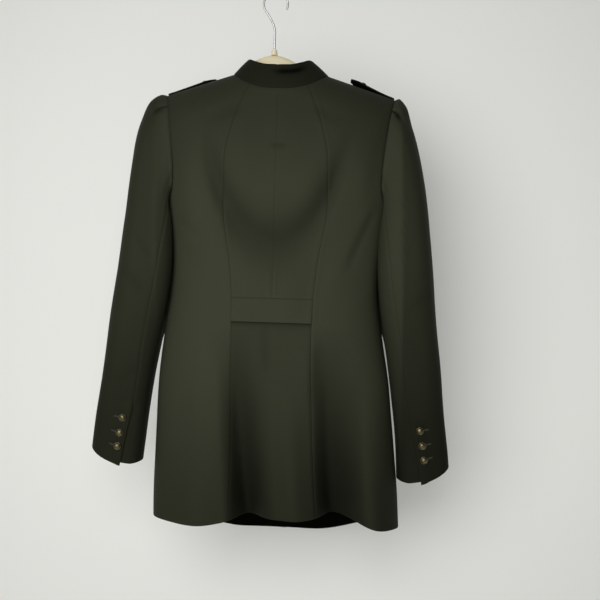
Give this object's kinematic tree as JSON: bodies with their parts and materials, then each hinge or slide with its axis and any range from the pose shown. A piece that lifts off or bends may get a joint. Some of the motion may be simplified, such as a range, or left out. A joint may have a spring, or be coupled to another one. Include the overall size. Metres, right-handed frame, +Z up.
{
  "type": "longline military jacket on a hanger",
  "caption": "Fitted longline military jacket with a stand collar, shoulder straps, half belt and domed cuff buttons, hanging on a hanger by its wire hook.",
  "frame": {"origin": "inside top of the hanger's hook, where it rests on what it hangs from", "axes": "+Z up, +Y towards the jacket's back, +X towards the wearer's left"},
  "size_m": [0.6198, 0.1563, 0.9331],
  "materials": {
    "cloth": "dark olive wool suiting, matt with a slight sheen",
    "button": "antique brass, worn bright on top of the dome",
    "hanger": "cream, smooth",
    "hook": "plated wire"
  },
  "bodies": {
    "root": {"back_belt": "cloth", "back_centre_left": "cloth", "back_centre_right": "cloth", "back_side_left": "cloth", "back_side_right": "cloth", "back_skirt_centre": "cloth", "collar": "cloth", "cuff_button_left_1": "button", "cuff_button_left_2": "button", "cuff_button_left_3": "button", "cuff_button_right_1": "button", "cuff_button_right_2": "button", "cuff_button_right_3": "button", "epaulette_button_left": "button", "epaulette_button_right": "button", "epaulette_left": "cloth", "epaulette_right": "cloth", "front_button_1": "button", "front_button_2": "button", "front_button_3": "button", "front_button_4": "button", "front_button_5": "button", "front_button_6": "button", "front_button_7": "button", "front_button_8": "button", "front_left": "cloth", "front_right": "cloth", "hanger_body": "hanger", "hanger_ferrule": "hanger", "hanger_hook": "hook", "top_sleeve_left": "cloth", "top_sleeve_right": "cloth", "under_sleeve_left": "cloth", "under_sleeve_right": "cloth"}
  },
  "joints": []
}
